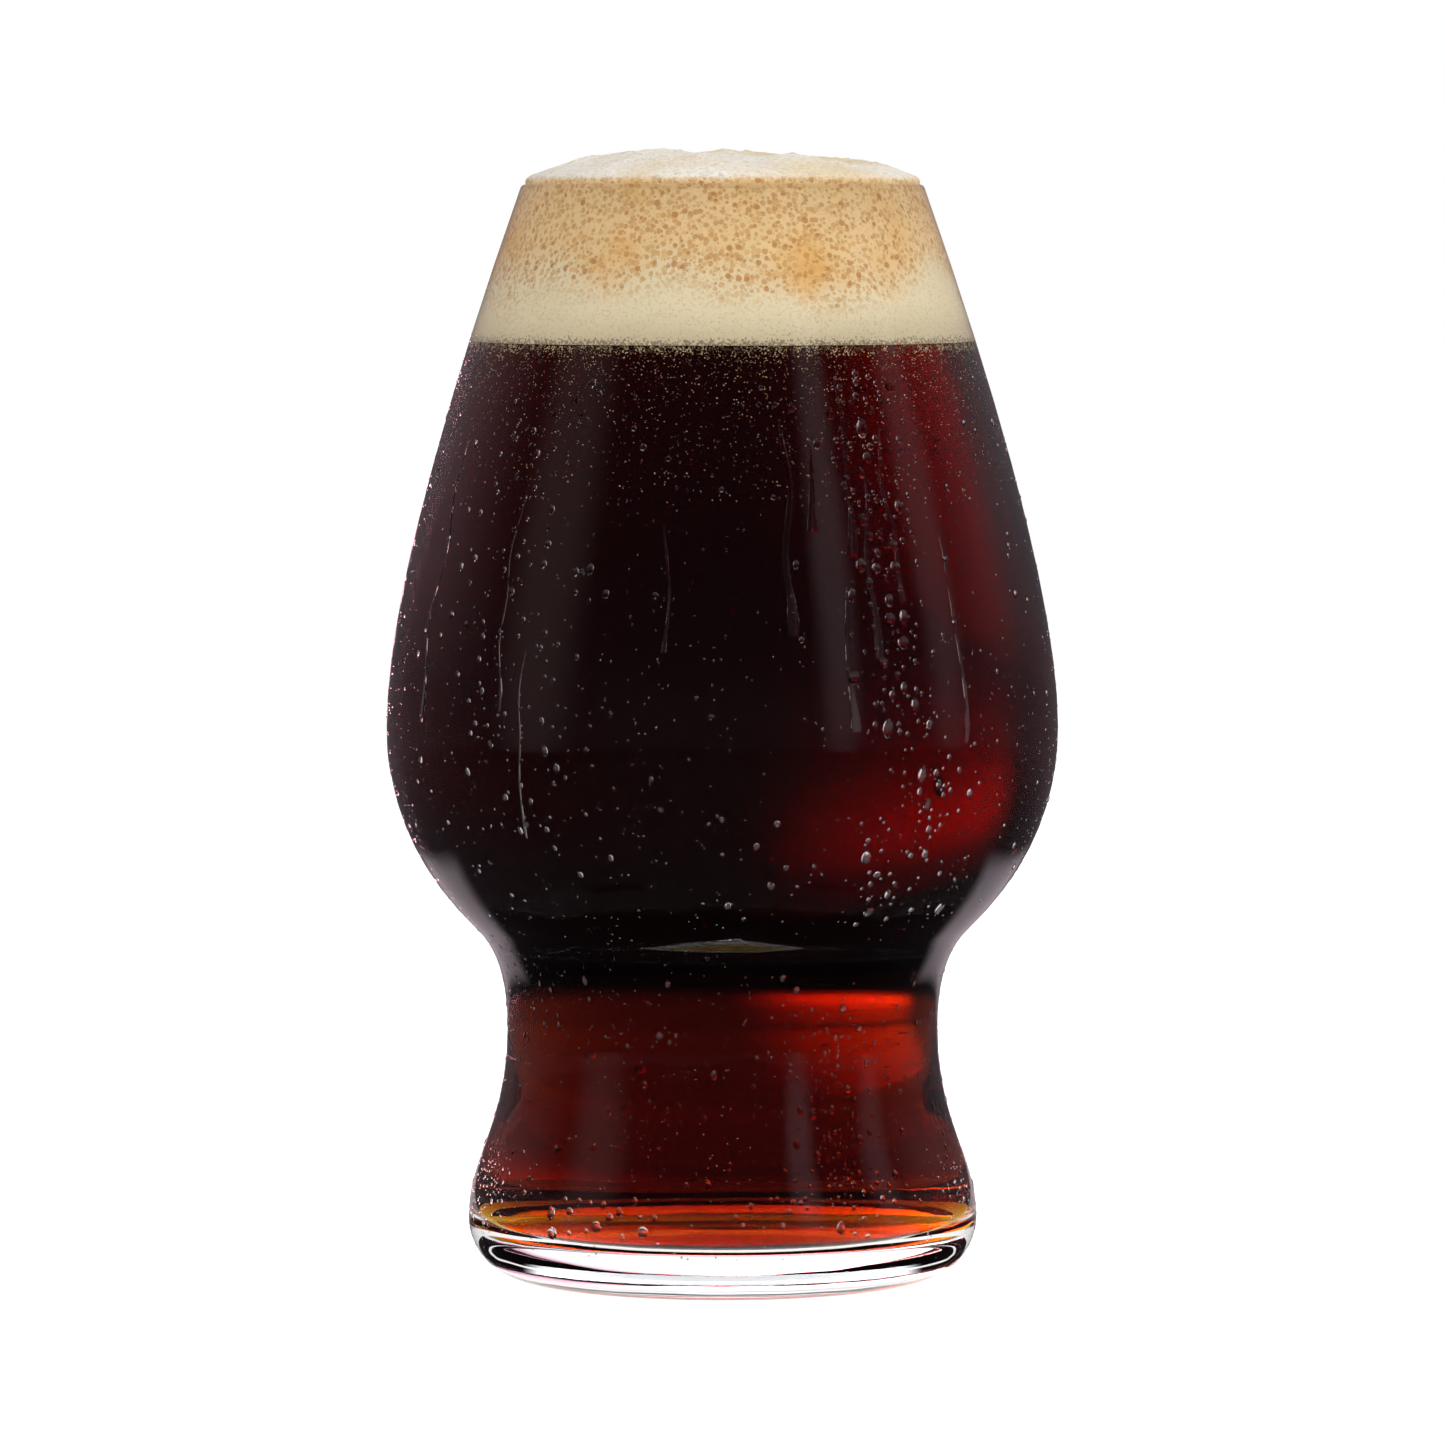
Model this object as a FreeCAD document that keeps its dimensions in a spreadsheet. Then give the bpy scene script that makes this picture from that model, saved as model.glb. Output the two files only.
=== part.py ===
# Beer tumbler, filled: a pinched, footed glass with its beer and its head of froth.
#
# The glass is one turned piece. From the table up it has a thick clear base with a
# shallow hollow under it, a round heel, a drawn-in waist, a heavy shoulder with a ledge
# inside, a wide belly, and a wall that leans in to a fire-polished rim.
# The beer fills the inside up to its own level, and the head stands on the beer and
# domes up over the rim. Both lie against the glass with one thin named gap.
#
# Millimetres. The axis of the glass is Z, and the origin is the centre of the circle
# that the glass stands on.
import math
import os

import FreeCAD
import Part
import Sketcher

doc = FreeCAD.newDocument("beer_tumbler")

# Driving sizes: name, value, meaning
SIZES = [
    ("glass_height", 143.0, "table to the top of the rim"),
    ("foot_radius", 33.35, "widest radius of the foot"),
    ("heel_curve", 8.0, "round from the table up to the widest part of the foot"),
    ("contact_width", 2.0, "width of the ring that the glass stands on"),
    ("base_hollow", 0.8, "depth of the hollow under the base"),
    ("foot_rise", 7.8, "pull of the outside straight up from the foot"),
    ("waist_radius", 28.2, "narrowest radius of the outside"),
    ("waist_height", 33.0, "height of the narrowest place"),
    ("waist_drop", 12.9, "pull of the outside straight down from the waist"),
    ("waist_rise", 6.5, "pull of the outside straight up from the waist"),
    ("shoulder_step", 3.9, "how far the turn from the waist to the belly stands out past the waist"),
    ("shoulder_lift", 12.7, "height of that place over the waist"),
    ("shoulder_slope", 44.0, "slope of the outside there, in degrees from level"),
    ("shoulder_drop", 3.2, "pull of the outside down the slope of the shoulder"),
    ("shoulder_rise", 13.0, "pull of the outside up the slope of the shoulder"),
    ("belly_radius", 43.9, "widest radius of the bowl"),
    ("belly_lift", 26.7, "height of the widest place over the shoulder"),
    ("belly_drop", 8.4, "pull of the outside straight down from the belly"),
    ("belly_rise", 12.5, "pull of the wall straight up from the belly"),
    ("rim_radius", 26.4, "radius at the outside of the rim"),
    ("rim_round", 0.7, "radius of the fire-polished rim, half its thickness"),
    ("wall_lean", 19.5, "lean of the wall below the rim, in degrees from upright"),
    ("rim_drop", 36.3, "pull of the wall down its lean from the rim"),
    ("base_thickness", 6.4, "table to the inside of the bottom"),
    ("inner_heel_curve", 5.0, "round inside, from the bottom up to the wall"),
    ("foot_wall", 3.2, "wall at the foot, level across"),
    ("inner_foot_rise", 4.0, "pull of the inside straight up from the foot"),
    ("inner_waist_drop", 12.5, "pull of the inside straight down from the waist"),
    ("neck_wall", 2.6, "wall at the waist"),
    ("ledge_drop", 1.5, "shoulder down to the centre of the ledge's round"),
    ("ledge_round", 1.5, "round where the floor of the bowl turns down the neck"),
    ("floor_slope", 30.0, "slope of the bowl's floor at the ledge, in degrees"),
    ("floor_rise", 9.0, "pull of the floor up its slope from the ledge"),
    ("floor_drop", 14.0, "pull of the inside straight down from the belly"),
    ("bowl_wall", 2.2, "wall at the belly"),
    ("liquid_gap", 0.05, "gap between the glass, the beer and the head"),
    ("beer_drop", 20.7, "top of the rim down to the top of the beer"),
    ("head_rise", 5.0, "height of the head over the rim"),
    ("head_edge_inset", 3.9, "outside of the rim in to where the dome's edge is pulled"),
    ("head_edge_rise", 3.6, "height over the rim to which the dome's edge is pulled"),
    ("head_flat_radius", 12.0, "radius out to which the top of the dome is pulled"),
]

sheet = doc.addObject("Spreadsheet::Sheet", "Sizes")
for row, (size_name, value, meaning) in enumerate(SIZES, start=1):
    sheet.set("A%d" % row, size_name)
    sheet.set("B%d" % row, str(value))
    sheet.set("C%d" % row, meaning)
    sheet.setAlias("B%d" % row, size_name)
doc.recompute()

# Ends of a line, an arc or a curve, and the centre of an arc or a handle
START = 1
END = 2
CENTRE = 3
ORIGIN = (-1, 1)
ON_AXIS = "0"
LEFT = "left"
RIGHT = "right"
ACROSS = "DistanceX"
UP = "DistanceY"

# The sketch's own axis on which a coordinate is nought: the upright one or the level one
NOUGHT_LINE = {ACROSS: -2, UP: -1}


class Outline:
    """The closed outline of a turned piece, drawn from point to point.

    A point is a pair of expressions of the sizes: the radius from the axis and the
    height over the table.
    """

    def __init__(self, body, name, start):
        self.sketch = body.newObject("Sketcher::SketchObject", name)
        self.sketch.AttachmentSupport = [(origin_plane(body, "XZ_Plane"), "")]
        self.sketch.MapMode = "FlatFace"
        self.first_point = start
        self.here = self.place(start)
        self.last = None
        self.first = None

    def value(self, expression):
        return float(self.sketch.evalExpression(expression))

    def place(self, point):
        radius, height = point
        return FreeCAD.Vector(self.value(radius), self.value(height), 0)

    def pin(self, kind, index, end, expression):
        """Hold one coordinate of a point at an expression of the sizes."""
        if expression == ON_AXIS:
            axis = NOUGHT_LINE[kind]
            self.sketch.addConstraint(Sketcher.Constraint("PointOnObject", index, end, axis))
            return
        number = self.sketch.addConstraint(
            Sketcher.Constraint(kind, *ORIGIN, index, end, self.value(expression))
        )
        self.sketch.setExpression("Constraints[%d]" % number, expression)

    def pin_point(self, index, end, point):
        self.pin(ACROSS, index, end, point[0])
        self.pin(UP, index, end, point[1])

    def join(self, index, start, end):
        """Start the new piece where the last one ended."""
        if self.last is None:
            self.first = (index, start)
            self.pin_point(index, start, self.first_point)
        else:
            self.sketch.addConstraint(Sketcher.Constraint("Coincident", *self.last, index, start))
        self.last = (index, end)

    def line(self, to):
        goal = self.place(to)
        index = self.sketch.addGeometry(Part.LineSegment(self.here, goal), False)
        self.join(index, START, END)
        self.pin_point(index, END, to)
        self.here = goal

    def arc(self, centre, turn, to, held):
        """An arc about a centre to a point, with one coordinate of that point held.

        turn is LEFT or RIGHT, and held is ACROSS or UP.
        """
        middle = self.place(centre)
        goal = self.place(to)
        ends = (self.here, goal) if turn == LEFT else (goal, self.here)
        angles = [math.atan2(point.y - middle.y, point.x - middle.x) for point in ends]
        circle = Part.Circle(middle, FreeCAD.Vector(0, 0, 1), self.here.distanceToPoint(middle))
        index = self.sketch.addGeometry(Part.ArcOfCircle(circle, *angles), False)
        start, end = (START, END) if turn == LEFT else (END, START)
        self.join(index, start, end)
        self.pin_point(index, CENTRE, centre)
        self.pin(held, index, end, to[0] if held == ACROSS else to[1])
        self.here = goal

    def curve(self, leave, arrive, to):
        """A smooth curve that leaves towards one handle and arrives from the other."""
        poles = [self.here, self.place(leave), self.place(arrive), self.place(to)]
        spline = Part.BSplineCurve()
        spline.buildFromPolesMultsKnots(poles, [4, 4], [0.0, 1.0], False, 3)
        index = self.sketch.addGeometry(spline, False)
        self.sketch.exposeInternalGeometry(index)
        handles = [
            number
            for number in range(index + 1, self.sketch.GeometryCount)
            if isinstance(self.sketch.Geometry[number], Part.Circle)
        ]
        self.join(index, START, END)
        self.pin_point(handles[1], CENTRE, leave)
        self.pin_point(handles[2], CENTRE, arrive)
        self.pin_point(handles[3], CENTRE, to)
        self.here = poles[3]

    def close(self):
        """Come back to the first point up or down the axis."""
        goal = self.place(self.first_point)
        index = self.sketch.addGeometry(Part.LineSegment(self.here, goal), False)
        self.join(index, START, END)
        self.sketch.addConstraint(Sketcher.Constraint("Coincident", index, END, *self.first))


def origin_plane(body, role):
    return next(item for item in body.Origin.OriginFeatures if item.Role == role)


def new_body(name):
    body = doc.addObject("PartDesign::Body", name)
    body.Label = name
    return body


def turn_solid(body, outline, name):
    """Turn a finished outline once around the axis into a solid."""
    solid = body.newObject("PartDesign::Revolution", name)
    solid.Profile = (outline.sketch, [""])
    solid.ReferenceAxis = (outline.sketch, ["V_Axis"])
    solid.Angle = 360.0
    doc.recompute()
    outline.sketch.Visibility = False
    return solid


def cut_band(body, name, low, high):
    """Take away what a body has between two heights, out past the belly."""
    reach = "Sizes.belly_radius"
    band = Outline(body, name + "_outline", (ON_AXIS, low))
    band.line((reach, low))
    band.line((reach, high))
    band.line((ON_AXIS, high))
    band.close()
    before = body.Shape.Volume
    cut = body.newObject("PartDesign::Groove", name)
    cut.Profile = (band.sketch, [""])
    cut.ReferenceAxis = (band.sketch, ["V_Axis"])
    cut.Angle = 360.0
    doc.recompute()
    band.sketch.Visibility = False
    if not cut.Shape.Volume < before:
        raise RuntimeError(name + " takes nothing away")
    return cut


# Slopes
LEAN = "(Sizes.wall_lean * 1 deg)"
SHOULDER = "(Sizes.shoulder_slope * 1 deg)"
FLOOR = "(Sizes.floor_slope * 1 deg)"

# Places that the glass, the beer and the head share, each worked out from the one below it
SHOULDER_POINT = (
    "(Sizes.waist_radius + Sizes.shoulder_step)",
    "(Sizes.waist_height + Sizes.shoulder_lift)",
)
BELLY_LEVEL = "(%s + Sizes.belly_lift)" % SHOULDER_POINT[1]
LEDGE_LEVEL = "(%s - Sizes.ledge_drop)" % SHOULDER_POINT[1]
RIM_CENTRE = ("(Sizes.rim_radius - Sizes.rim_round)", "(Sizes.glass_height - Sizes.rim_round)")
BEER_LEVEL = "(Sizes.glass_height - Sizes.beer_drop)"


def along(point, length, slope_across, slope_up):
    """The point that lies some length away from another along a slope."""
    radius, height = point
    return ("%s + (%s) * %s" % (radius, length, slope_across), "%s + (%s) * %s" % (height, length, slope_up))


def draw_inside(outline, gap):
    """Draw the inside of the glass, from the middle of its bottom up to the rim.

    The gap moves the whole line off the glass, so the beer and the head use the same
    sizes as the glass that holds them.
    """
    bottom = "Sizes.base_thickness + %s" % gap
    heel_centre = (
        "Sizes.foot_radius - Sizes.foot_wall - Sizes.inner_heel_curve",
        "Sizes.base_thickness + Sizes.inner_heel_curve",
    )
    foot = "Sizes.foot_radius - Sizes.foot_wall - %s" % gap
    neck = "Sizes.waist_radius - Sizes.neck_wall - %s" % gap
    belly = "Sizes.belly_radius - Sizes.bowl_wall - %s" % gap

    outline.line((heel_centre[0], bottom))
    outline.arc(heel_centre, LEFT, (foot, heel_centre[1]), UP)
    outline.curve(
        (foot, heel_centre[1] + " + Sizes.inner_foot_rise"),
        (neck, "Sizes.waist_height - Sizes.inner_waist_drop"),
        (neck, "Sizes.waist_height"),
    )
    outline.line((neck, LEDGE_LEVEL))

    ledge_centre = ("Sizes.waist_radius - Sizes.neck_wall + Sizes.ledge_round", LEDGE_LEVEL)
    ledge_reach = "Sizes.ledge_round + %s" % gap
    ledge_end = along(ledge_centre, ledge_reach, "-sin(%s)" % FLOOR, "cos(%s)" % FLOOR)
    outline.arc(ledge_centre, RIGHT, ledge_end, UP)
    outline.curve(
        along(ledge_end, "Sizes.floor_rise", "cos(%s)" % FLOOR, "sin(%s)" % FLOOR),
        (belly, "%s - Sizes.floor_drop" % BELLY_LEVEL),
        (belly, BELLY_LEVEL),
    )

    rim_reach = "Sizes.rim_round + %s" % gap
    rim_inside = along(RIM_CENTRE, rim_reach, "-cos(%s)" % LEAN, "-sin(%s)" % LEAN)
    outline.curve(
        (belly, "%s + Sizes.belly_rise" % BELLY_LEVEL),
        along(rim_inside, "Sizes.rim_drop", "sin(%s)" % LEAN, "-cos(%s)" % LEAN),
        rim_inside,
    )


def draw_outside(outline):
    """Draw the outside of the glass, from the inner side of its rim down to the base."""
    rim_outside = along(RIM_CENTRE, "Sizes.rim_round", "cos(%s)" % LEAN, "sin(%s)" % LEAN)
    outline.arc(RIM_CENTRE, RIGHT, rim_outside, UP)
    outline.curve(
        along(rim_outside, "Sizes.rim_drop", "sin(%s)" % LEAN, "-cos(%s)" % LEAN),
        ("Sizes.belly_radius", "%s + Sizes.belly_rise" % BELLY_LEVEL),
        ("Sizes.belly_radius", BELLY_LEVEL),
    )

    outline.curve(
        ("Sizes.belly_radius", "%s - Sizes.belly_drop" % BELLY_LEVEL),
        along(SHOULDER_POINT, "Sizes.shoulder_rise", "cos(%s)" % SHOULDER, "sin(%s)" % SHOULDER),
        SHOULDER_POINT,
    )
    outline.curve(
        along(SHOULDER_POINT, "Sizes.shoulder_drop", "-cos(%s)" % SHOULDER, "-sin(%s)" % SHOULDER),
        ("Sizes.waist_radius", "Sizes.waist_height + Sizes.waist_rise"),
        ("Sizes.waist_radius", "Sizes.waist_height"),
    )

    outline.curve(
        ("Sizes.waist_radius", "Sizes.waist_height - Sizes.waist_drop"),
        ("Sizes.foot_radius", "Sizes.heel_curve + Sizes.foot_rise"),
        ("Sizes.foot_radius", "Sizes.heel_curve"),
    )
    ring = "Sizes.foot_radius - Sizes.heel_curve"
    hollow = "(Sizes.foot_radius - Sizes.heel_curve - Sizes.contact_width)"
    outline.arc((ring, "Sizes.heel_curve"), RIGHT, (ring, ON_AXIS), ACROSS)
    outline.line((hollow, ON_AXIS))
    hollow_centre = "Sizes.base_hollow / 2 - %s ^ 2 / (2 * Sizes.base_hollow)" % hollow
    outline.arc((ON_AXIS, hollow_centre), LEFT, (ON_AXIS, "Sizes.base_hollow"), ACROSS)


def make_tumbler():
    """The glass, turned in one piece."""
    body = new_body("tumbler")
    outline = Outline(body, "glass_outline", (ON_AXIS, "Sizes.base_thickness"))
    draw_inside(outline, "0")
    draw_outside(outline)
    outline.close()
    turn_solid(body, outline, "glass_turned")
    return body


def make_beer():
    """The beer, which fills the inside of the glass up to its level."""
    body = new_body("beer")
    gap = "Sizes.liquid_gap"
    outline = Outline(body, "beer_outline", (ON_AXIS, "Sizes.base_thickness + %s" % gap))
    draw_inside(outline, gap)
    outline.line((ON_AXIS, RIM_CENTRE[1]))
    outline.close()
    turn_solid(body, outline, "beer_turned")
    cut_band(body, "beer_level", BEER_LEVEL, "Sizes.glass_height + Sizes.head_rise")
    return body


def make_head():
    """The head of froth, from the beer up and over the rim as a low dome."""
    body = new_body("foam_head")
    gap = "Sizes.liquid_gap"
    outline = Outline(body, "head_outline", (ON_AXIS, "Sizes.base_thickness + %s" % gap))
    draw_inside(outline, gap)
    top = "Sizes.glass_height + Sizes.head_rise"
    outline.curve(
        ("Sizes.rim_radius - Sizes.head_edge_inset", "Sizes.glass_height + Sizes.head_edge_rise"),
        ("Sizes.head_flat_radius", top),
        (ON_AXIS, top),
    )
    outline.close()
    turn_solid(body, outline, "head_turned")
    cut_band(body, "head_foot", "Sizes.base_thickness / 2", "%s + %s" % (BEER_LEVEL, gap))
    return body


pieces = [make_tumbler(), make_beer(), make_head()]
doc.recompute()

# Nothing is written unless every feature has worked
for item in doc.Objects:
    if "Invalid" in item.State or "Error" in item.State:
        raise RuntimeError("%s failed: %s" % (item.Name, item.State))
for piece in pieces:
    if piece.Shape.isNull() or not piece.Shape.isValid():
        raise RuntimeError(piece.Label + " has no valid shape")
    print(piece.Label, len(piece.Shape.Solids), "solid", round(piece.Shape.Volume / 1000.0, 2), "cm3")

os.makedirs("parts", exist_ok=True)
for piece in pieces:
    piece.Shape.exportStep("parts/%s.step" % piece.Label)
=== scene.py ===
# %% [markdown]
# A pinched, footed beer tumbler, filled with dark beer under a head of froth.
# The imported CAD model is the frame: the glass, the beer and the head keep their places and
# sizes. Each one is replaced here by a finer turned mesh of the same form, and then the
# small things that make a cold glass are added: cold drops, runs of water, fine bubbles.

# %% Frame
import math
import random

import bpy
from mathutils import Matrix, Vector
from mathutils import noise


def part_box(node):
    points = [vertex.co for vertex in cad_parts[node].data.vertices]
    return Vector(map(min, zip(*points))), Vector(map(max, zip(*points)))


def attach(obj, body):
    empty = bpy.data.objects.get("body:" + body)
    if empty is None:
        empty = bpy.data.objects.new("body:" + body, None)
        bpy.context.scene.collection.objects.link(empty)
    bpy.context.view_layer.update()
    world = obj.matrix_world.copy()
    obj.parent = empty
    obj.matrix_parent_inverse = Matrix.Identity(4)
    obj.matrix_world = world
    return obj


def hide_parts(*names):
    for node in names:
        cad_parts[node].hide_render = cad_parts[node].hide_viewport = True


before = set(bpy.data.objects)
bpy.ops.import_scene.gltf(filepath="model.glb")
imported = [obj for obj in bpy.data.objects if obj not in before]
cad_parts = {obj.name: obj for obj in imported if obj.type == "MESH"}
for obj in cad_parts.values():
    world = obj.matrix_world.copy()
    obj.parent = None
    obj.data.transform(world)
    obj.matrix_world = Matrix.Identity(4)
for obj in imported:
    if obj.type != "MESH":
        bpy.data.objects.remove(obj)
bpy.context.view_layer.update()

MM = 0.001
scene = bpy.context.scene
scene.view_settings.view_transform = "Standard"

# %% [markdown]
# All three turned pieces share one drawing, as the real ones touch: the outside and the
# inside of the glass. The sizes repeat the CAD drawing in millimetres, and the overall
# height and the level of the beer are read from the frame, so they can't drift apart.

# %% Sizes of the turned pieces
GLASS_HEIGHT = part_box("tumbler")[1][2] / MM
BEER_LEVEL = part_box("beer")[1][2] / MM
HEAD_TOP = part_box("foam_head")[1][2] / MM

FOOT_RADIUS = 33.35
FOOT_RISE = 7.8
HEEL_CURVE = 8.0
CONTACT_WIDTH = 2.0
BASE_HOLLOW = 0.8
WAIST = (28.2, 33.0)
WAIST_DROP = 12.9
WAIST_RISE = 6.5
SHOULDER = (32.1, 45.7)
SHOULDER_SLOPE = math.radians(44.0)
SHOULDER_DROP = 3.2
SHOULDER_RISE = 13.0
BELLY = (43.9, 72.4)
BELLY_DROP = 8.4
BELLY_RISE = 12.5
RIM_RADIUS = 26.4
RIM_ROUND = 0.7
RIM_DROP = 36.3
WALL_LEAN = math.radians(19.5)

BASE_THICKNESS = 6.4
INNER_HEEL = 5.0
FOOT_WALL = 3.2
INNER_FOOT_RISE = 4.0
INNER_WAIST_DROP = 12.5
NECK_WALL = 2.6
BOWL_WALL = 2.2
LEDGE_HEIGHT = 44.2
LEDGE_ROUND = 1.5
FLOOR_SLOPE = math.radians(30.0)
FLOOR_RISE = 9.0
FLOOR_DROP = 14.0
LIQUID_GAP = 0.05

RIM_CENTRE = (RIM_RADIUS - RIM_ROUND, GLASS_HEIGHT - RIM_ROUND)
print("glass", round(GLASS_HEIGHT, 2), "beer", round(BEER_LEVEL, 2), "head", round(HEAD_TOP, 2), "mm")

# %% [markdown]
# A turned piece starts as half of its outline. Straight runs, arcs and free curves are all
# stretches of one Bezier curve, so the outline is smooth where the real glass is smooth.
# An arc of a circle is close to a Bezier stretch whose handles are 4/3 tan(angle / 4) long.

# %% Drawing an outline
STEPS = 24


def along(point, length, across, up):
    return (point[0] + length * across, point[1] + length * up)


class Outline:
    """Points of a half outline: place, and the handles before and after it, in mm."""

    def __init__(self, start):
        self.knots = [[start, start, start]]

    def curve(self, leave, arrive, to):
        self.knots[-1][2] = leave
        self.knots.append([to, arrive, to])

    def line(self, to):
        self.curve(self.knots[-1][0], to, to)

    def arc(self, centre, to):
        """An arc about a centre, the short way round."""
        here = self.knots[-1][0]
        first = math.atan2(here[1] - centre[1], here[0] - centre[0])
        last = math.atan2(to[1] - centre[1], to[0] - centre[0])
        turn = (last - first + math.pi) % math.tau - math.pi
        reach = math.dist(here, centre) * 4.0 / 3.0 * math.tan(turn / 4.0)
        leave = along(here, reach, -math.sin(first), math.cos(first))
        arrive = along(to, reach, math.sin(last), -math.cos(last))
        self.curve(leave, arrive, to)

    def points(self):
        """Points along the whole outline, for seating things on it."""
        found = []
        for before, after in zip(self.knots, self.knots[1:]):
            corners = [Vector(before[0]), Vector(before[2]), Vector(after[1]), Vector(after[0])]
            for number in range(STEPS):
                t = number / STEPS
                s = 1.0 - t
                found.append(
                    corners[0] * s**3
                    + corners[1] * (3 * s * s * t)
                    + corners[2] * (3 * s * t * t)
                    + corners[3] * t**3
                )
        found.append(Vector(self.knots[-1][0]))
        return found


# %% [markdown]
# The real glass is pressed or blown in a mould, so its outside is the mould's shape and its
# inside follows at the wall's thickness: thick at the base, thin at the bowl. The two sides
# are drawn apart, because the beer and the froth are turned from the inside alone, moved
# off the glass by a gap.

# %% The inside and the outside of the glass
def draw_inside(outline, gap):
    """From the middle of the bottom up the inside to the rim, moved off the glass by a gap."""
    bottom = BASE_THICKNESS + gap
    heel_centre = (FOOT_RADIUS - FOOT_WALL - INNER_HEEL, BASE_THICKNESS + INNER_HEEL)
    foot = FOOT_RADIUS - FOOT_WALL - gap
    neck = WAIST[0] - NECK_WALL - gap
    belly = BELLY[0] - BOWL_WALL - gap
    outline.line((heel_centre[0], bottom))
    outline.arc(heel_centre, (foot, heel_centre[1]))
    foot_handle = (foot, heel_centre[1] + INNER_FOOT_RISE)
    outline.curve(foot_handle, (neck, WAIST[1] - INNER_WAIST_DROP), (neck, WAIST[1]))
    outline.line((neck, LEDGE_HEIGHT))
    ledge_centre = (WAIST[0] - NECK_WALL + LEDGE_ROUND, LEDGE_HEIGHT)
    slope = (math.cos(FLOOR_SLOPE), math.sin(FLOOR_SLOPE))
    ledge_end = along(ledge_centre, LEDGE_ROUND + gap, -slope[1], slope[0])
    outline.arc(ledge_centre, ledge_end)
    floor_handle = along(ledge_end, FLOOR_RISE, *slope)
    outline.curve(floor_handle, (belly, BELLY[1] - FLOOR_DROP), (belly, BELLY[1]))
    lean = (math.sin(WALL_LEAN), math.cos(WALL_LEAN))
    rim_inside = along(RIM_CENTRE, RIM_ROUND + gap, -lean[1], -lean[0])
    rim_handle = along(rim_inside, RIM_DROP, lean[0], -lean[1])
    outline.curve((belly, BELLY[1] + BELLY_RISE), rim_handle, rim_inside)


def draw_outside(outline):
    """From the inner side of the rim over its top and down the outside to the base."""
    lean = (math.sin(WALL_LEAN), math.cos(WALL_LEAN))
    rim_outside = along(RIM_CENTRE, RIM_ROUND, lean[1], lean[0])
    rim_top = along(RIM_CENTRE, RIM_ROUND, -lean[0], lean[1])
    outline.arc(RIM_CENTRE, rim_top)
    outline.arc(RIM_CENTRE, rim_outside)
    rim_handle = along(rim_outside, RIM_DROP, lean[0], -lean[1])
    outline.curve(rim_handle, (BELLY[0], BELLY[1] + BELLY_RISE), BELLY)
    slope = (math.cos(SHOULDER_SLOPE), math.sin(SHOULDER_SLOPE))
    belly_handle = (BELLY[0], BELLY[1] - BELLY_DROP)
    outline.curve(belly_handle, along(SHOULDER, SHOULDER_RISE, *slope), SHOULDER)
    shoulder_handle = along(SHOULDER, -SHOULDER_DROP, *slope)
    outline.curve(shoulder_handle, (WAIST[0], WAIST[1] + WAIST_RISE), WAIST)
    waist_handle = (WAIST[0], WAIST[1] - WAIST_DROP)
    heel_top = (FOOT_RADIUS, HEEL_CURVE)
    outline.curve(waist_handle, (FOOT_RADIUS, HEEL_CURVE + FOOT_RISE), heel_top)
    ring = FOOT_RADIUS - HEEL_CURVE
    hollow = ring - CONTACT_WIDTH
    outline.arc((ring, HEEL_CURVE), (ring, 0.0))
    outline.line((hollow, 0.0))
    outline.arc((0.0, BASE_HOLLOW / 2 - hollow**2 / (2 * BASE_HOLLOW)), (0.0, BASE_HOLLOW))


glass_outline = Outline((0.0, BASE_THICKNESS))
draw_inside(glass_outline, 0.0)
inside_points = glass_outline.points()
draw_outside(glass_outline)
outside_outline = Outline(along(RIM_CENTRE, RIM_ROUND, -math.cos(WALL_LEAN), -math.sin(WALL_LEAN)))
draw_outside(outside_outline)
outside_points = outside_outline.points()
print("outline", len(glass_outline.knots), "knots")

# %% [markdown]
# The outline is turned as on a lathe: the curve becomes a line of edges, and Spin carries
# it once round. The seam and the pole on the axis are then merged, and the faces are told
# to point outwards, because Spin can leave them inside out.

# %% Turning a piece
def select_only(piece):
    bpy.ops.object.select_all(action="DESELECT")
    piece.select_set(True)
    bpy.context.view_layer.objects.active = piece


def turn(name, outline, fineness=10, steps=144):
    """Turn a half outline once round Z into a closed, smooth mesh."""
    bpy.ops.object.select_all(action="DESELECT")
    bpy.ops.curve.primitive_bezier_curve_add(location=(0, 0, 0))
    piece = bpy.context.object
    piece.name = name
    spline = piece.data.splines[0]
    spline.bezier_points.add(len(outline.knots) - len(spline.bezier_points))
    for point, (place, before, after) in zip(spline.bezier_points, outline.knots):
        point.handle_left_type = point.handle_right_type = "FREE"
        point.co = (place[0] * MM, 0, place[1] * MM)
        point.handle_left = (before[0] * MM, 0, before[1] * MM)
        point.handle_right = (after[0] * MM, 0, after[1] * MM)
    piece.data.resolution_u = fineness
    bpy.ops.object.convert(target="MESH")
    piece = bpy.context.object
    bpy.ops.object.mode_set(mode="EDIT")
    bpy.ops.mesh.select_all(action="SELECT")
    bpy.ops.mesh.remove_doubles(threshold=0.002 * MM)
    bpy.ops.mesh.spin(steps=steps, angle=math.tau, center=(0, 0, 0), axis=(0, 0, 1))
    bpy.ops.mesh.select_all(action="SELECT")
    bpy.ops.mesh.remove_doubles(threshold=0.002 * MM)
    bpy.ops.mesh.normals_make_consistent(inside=False)
    bpy.ops.object.mode_set(mode="OBJECT")
    bpy.ops.object.shade_smooth()
    piece.data.name = name
    print(name, len(piece.data.polygons), "faces")
    return piece


def cut_level(piece, height, inner=False, outer=False):
    """Cut across a piece at a height, and clear what is above (outer) or below (inner)."""
    select_only(piece)
    bpy.ops.object.mode_set(mode="EDIT")
    bpy.ops.mesh.select_all(action="SELECT")
    bpy.ops.mesh.bisect(
        plane_co=(0, 0, height * MM),
        plane_no=(0, 0, 1),
        use_fill=inner or outer,
        clear_inner=inner,
        clear_outer=outer,
        threshold=0.001 * MM,
    )
    bpy.ops.object.mode_set(mode="OBJECT")


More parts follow.
